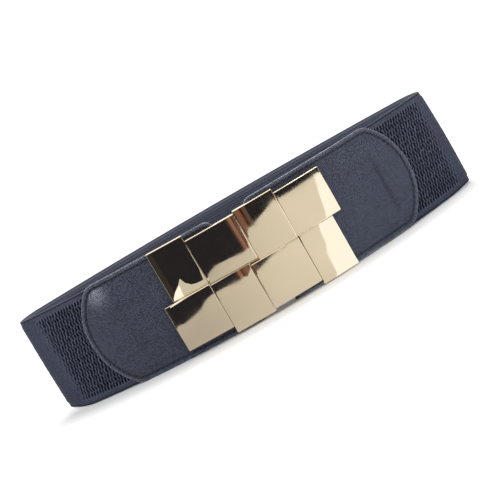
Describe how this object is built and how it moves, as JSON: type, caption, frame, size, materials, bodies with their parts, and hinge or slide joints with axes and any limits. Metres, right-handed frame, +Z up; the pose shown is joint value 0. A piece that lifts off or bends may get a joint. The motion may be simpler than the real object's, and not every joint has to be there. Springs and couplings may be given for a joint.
{
  "type": "wide stretch waist belt with interlocking tile buckle",
  "caption": "Wide ribbed stretch belt closed into a loop, with D-ended leather panels and a mirror-bright interlocking buckle of staggered tiles.",
  "frame": {"origin": "bottom centre of the whole belt's box, on the surface that the belt stands on", "axes": "+X along the belt from fold to fold, to the wearer's left; the buckle faces -Y; +Z up across the belt's width"},
  "size_m": [0.2694, 0.0788, 0.0626],
  "materials": {
    "webbing": "matt ribbed stretch webbing, navy",
    "leather": "fine pebbled grain with a low satin sheen, navy",
    "gold_plate": "polished pale gold plating on a zinc casting"
  },
  "bodies": {
    "root": {"elastic_band": "webbing", "leather_panel_left": "leather", "leather_panel_right": "leather", "buckle_half_left": "gold_plate", "buckle_half_right": "gold_plate", "clasp_hook": "gold_plate"}
  },
  "joints": []
}
